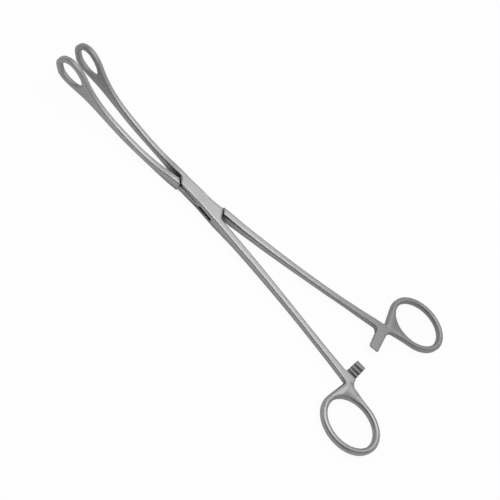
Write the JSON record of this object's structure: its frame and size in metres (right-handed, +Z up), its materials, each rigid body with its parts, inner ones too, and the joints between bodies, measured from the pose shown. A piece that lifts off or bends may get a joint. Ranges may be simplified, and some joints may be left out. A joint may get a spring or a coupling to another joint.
{
  "type": "piercing_forceps",
  "caption": "Curved ring-jaw piercing forceps in satin stainless steel, about 25 cm long, with box lock, finger rings and ratchet, modelled slightly open.",
  "frame": {"origin": "on the pivot axis, at the flat underside of the box lock", "axes": "+X towards the jaw tips along the middle of the two halves, +Z up, the way the jaws bend, +Y to the left, the side of the female half's finger ring"},
  "size_m": [0.2481, 0.1056, 0.0239],
  "materials": {
    "female_steel": "satin",
    "male_steel": "satin",
    "pin_steel": "satin"
  },
  "bodies": {
    "female": {"female_half": "female_steel", "pivot_pin": "pin_steel"},
    "male": {"male_half": "male_steel"}
  },
  "joints": [
    {"name": "lock_hinge", "type": "hinge", "parent": "female", "child": "male", "pos_m": [0, 0, 0.003], "axis": [0, 0, 1], "range_deg": [-6.6, 68]}
  ]
}
